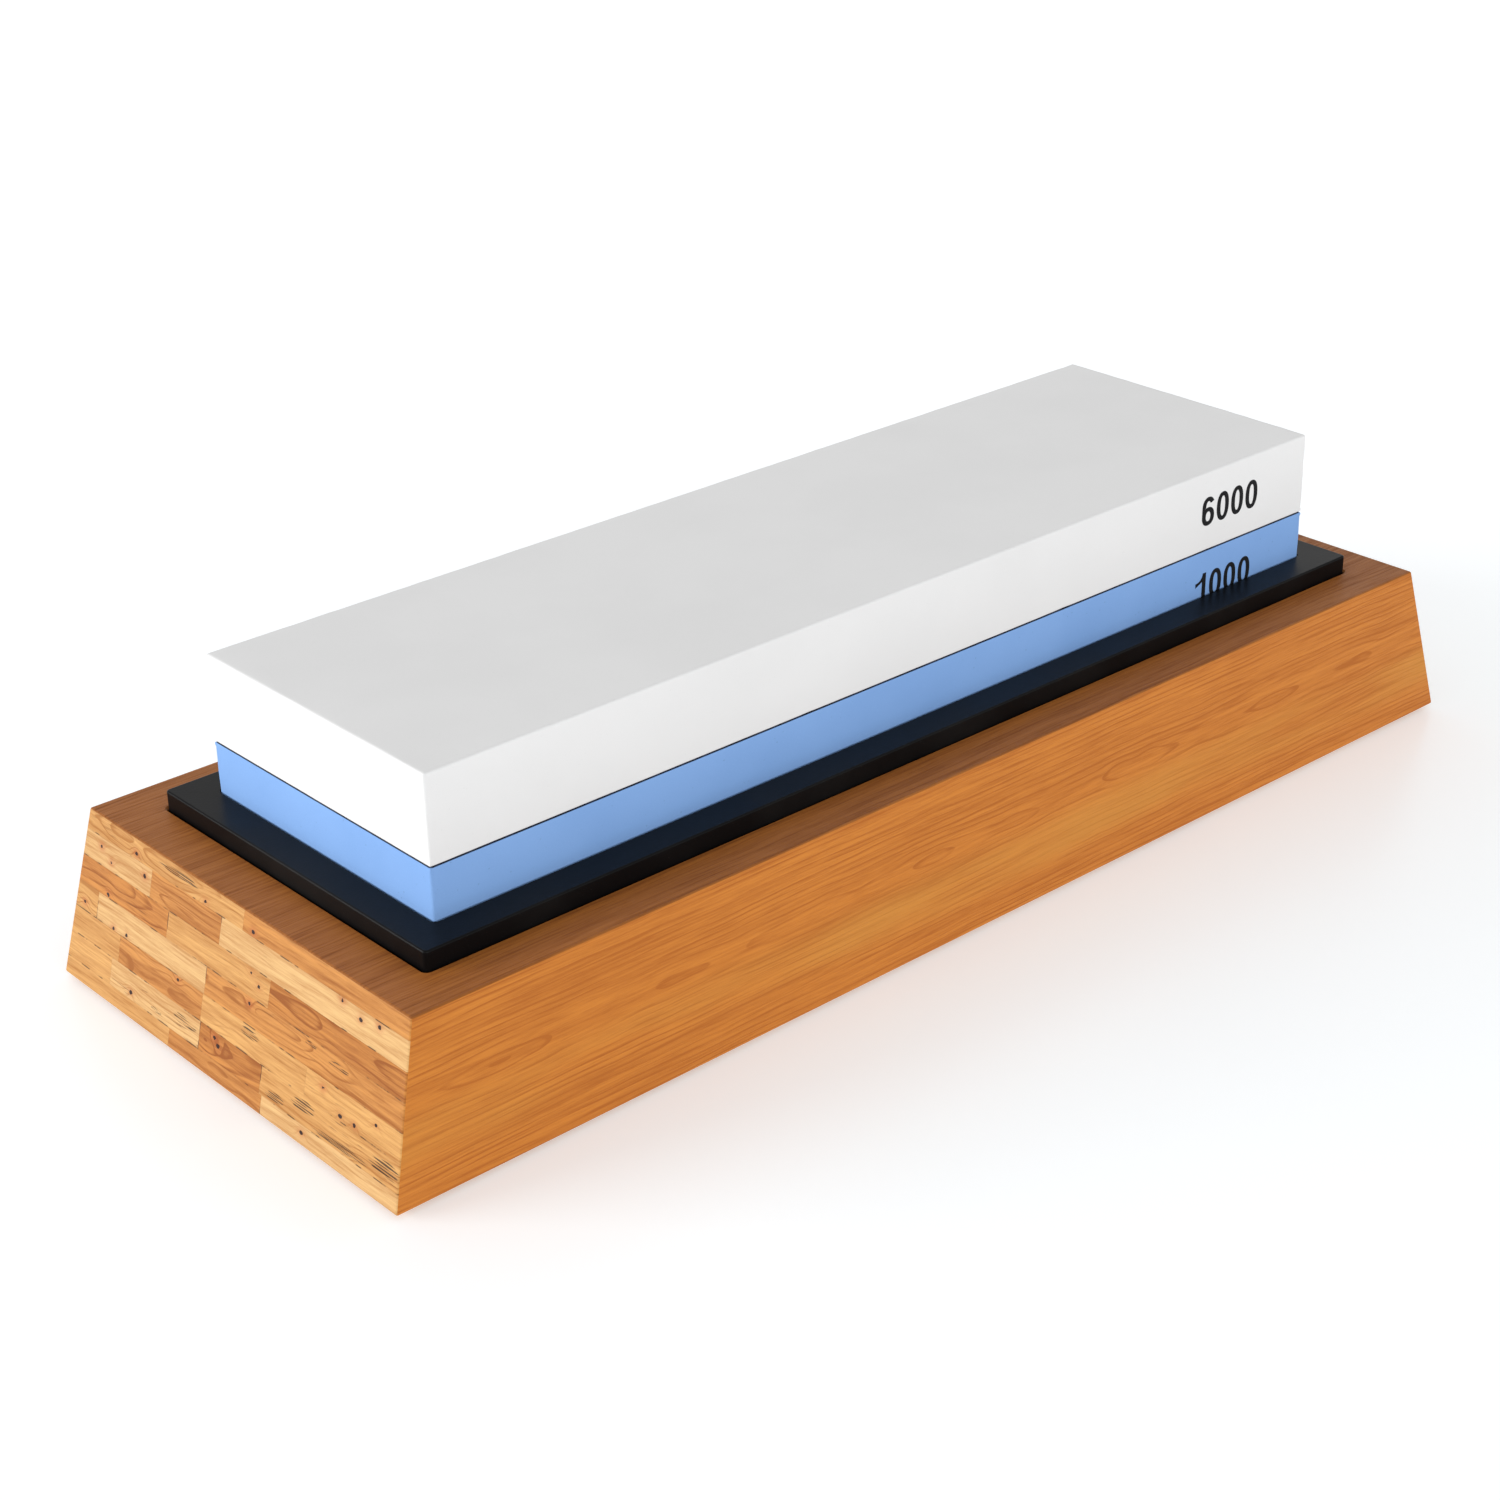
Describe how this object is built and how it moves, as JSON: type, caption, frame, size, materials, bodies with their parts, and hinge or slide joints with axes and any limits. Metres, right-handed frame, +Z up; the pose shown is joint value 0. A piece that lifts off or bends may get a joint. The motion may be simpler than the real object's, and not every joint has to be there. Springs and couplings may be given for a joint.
{
  "type": "sharpening whetstone",
  "caption": "Combination sharpening stone, white over blue, standing in a black rubber tray let into a long glued-up wooden base with sloping sides and ends.",
  "frame": {"origin": "centre of the footprint, on the surface that the feet stand on", "axes": "+X along the stone and the base, +Y across them towards the back, +Z up"},
  "size_m": [0.22, 0.0842, 0.0513],
  "materials": {
    "fine_abrasive": "matte",
    "coarse_abrasive": "matte",
    "resin_bond": "satin",
    "holder_rubber": "satin",
    "foot_rubber": "matte",
    "printed_ink": "matte",
    "cream_wood": "satin",
    "light_wood": "satin",
    "orange_wood": "satin",
    "brown_wood": "satin"
  },
  "bodies": {
    "base": {"course1_stave1": "light_wood", "course1_stave2": "orange_wood", "course2_stave1": "cream_wood", "course2_stave2_left": "orange_wood", "course2_stave2_right": "orange_wood", "course2_stave3": "cream_wood", "course3_stave1": "brown_wood", "course3_stave2": "light_wood", "course3_stave3": "brown_wood", "course4_stave1": "light_wood", "course4_stave2": "cream_wood", "course4_stave3": "orange_wood", "course5_stave1": "light_wood", "course5_stave2": "orange_wood", "course5_stave3": "light_wood", "course5_stave4": "light_wood", "course6_stave1": "light_wood", "course6_stave2": "cream_wood", "course6_stave3": "brown_wood", "course6_stave4": "light_wood", "course7_stave1": "light_wood", "course7_stave2": "orange_wood", "course7_stave3": "cream_wood", "foot_back_left": "foot_rubber", "foot_back_right": "foot_rubber", "foot_front_left": "foot_rubber", "foot_front_right": "foot_rubber"},
    "holder": {"rubber_holder": "holder_rubber"},
    "stone": {"fine_grit_layer": "fine_abrasive", "bond_film": "resin_bond", "coarse_grit_layer": "coarse_abrasive"}
  },
  "joints": [
    {"name": "holder_lift", "type": "slide", "parent": "base", "child": "holder", "axis": [0, 0, 1], "range_m": [0, 0.03]},
    {"name": "stone_lift", "type": "slide", "parent": "holder", "child": "stone", "axis": [0, 0, 1], "range_m": [0, 0.04]}
  ]
}
